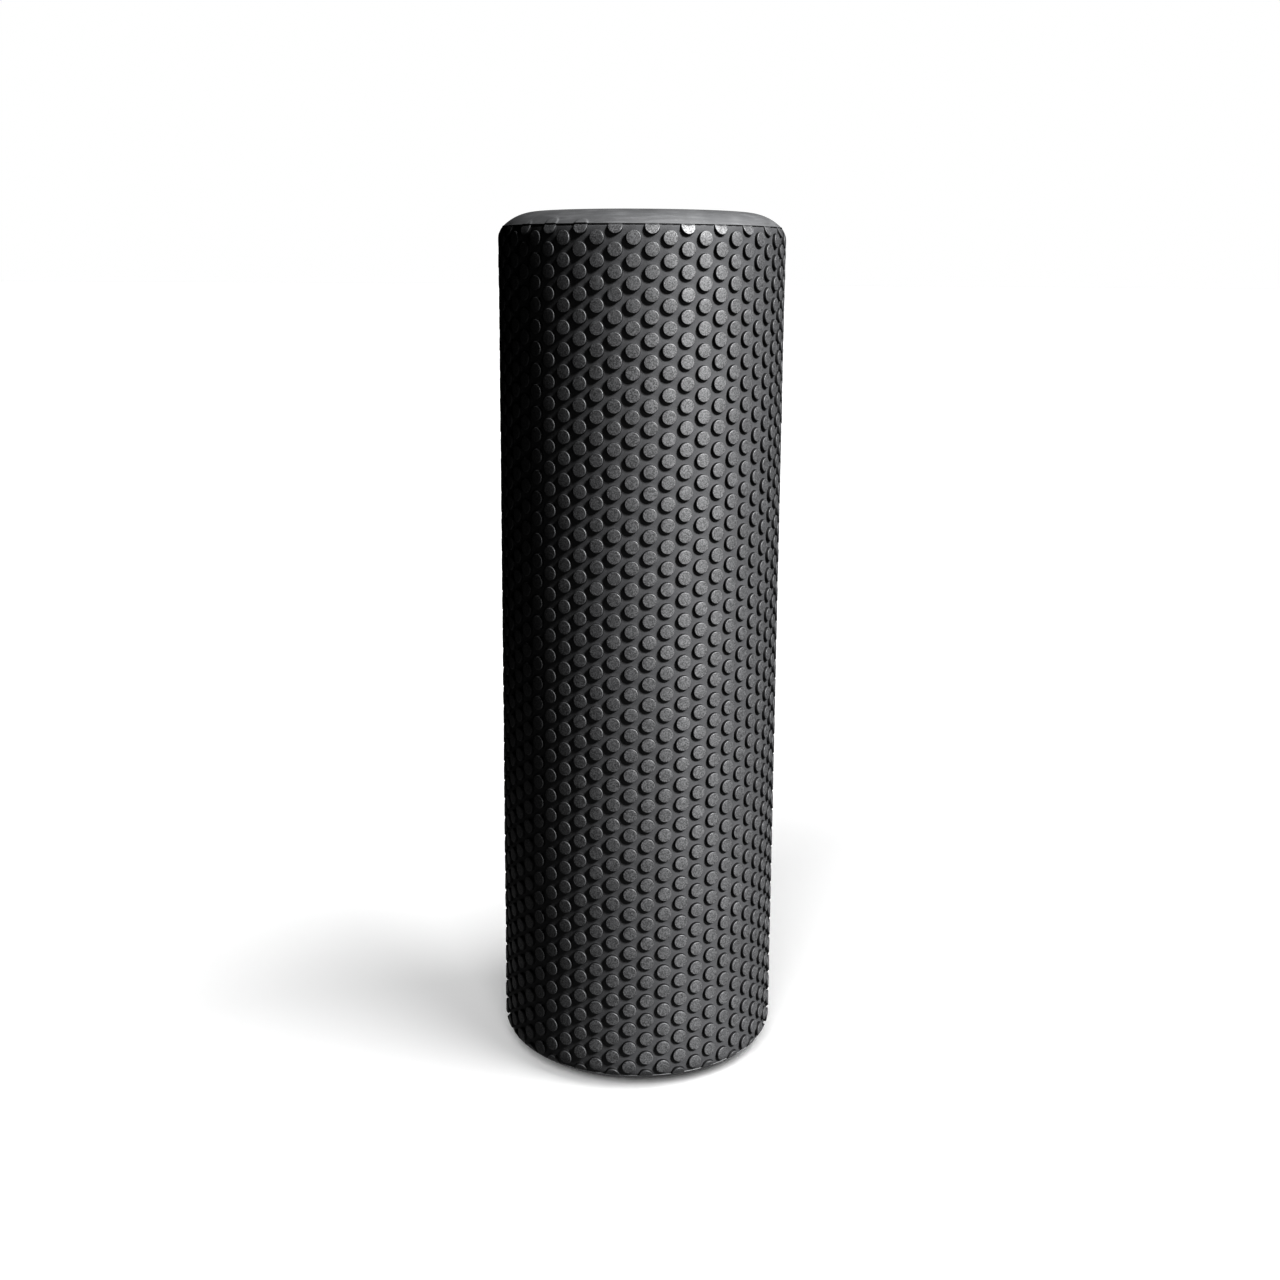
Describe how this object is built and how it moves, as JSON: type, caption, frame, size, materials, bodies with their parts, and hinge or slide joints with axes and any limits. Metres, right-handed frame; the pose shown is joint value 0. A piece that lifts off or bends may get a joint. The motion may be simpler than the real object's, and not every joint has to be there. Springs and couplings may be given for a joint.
{
  "type": "foam roller",
  "caption": "Solid foam massage roller with softly rounded ends and a dense staggered field of small round studs, standing on one end.",
  "frame": {"origin": "centre of the lower end face, on the surface that the roller stands on", "axes": "+Z along the roller's length, up through the upper end face; X and Y are equal, the roller is round"},
  "size_m": [0.148, 0.148, 0.45],
  "materials": {
    "core_foam": "matte closed-cell foam",
    "sleeve_foam": "matte grained foam skin",
    "end_foam": "smooth matte foam skin"
  },
  "bodies": {
    "root": {"foam_core": "core_foam", "studded_sleeve": "sleeve_foam", "bottom_end_disc": "end_foam", "top_end_disc": "end_foam"}
  },
  "joints": []
}
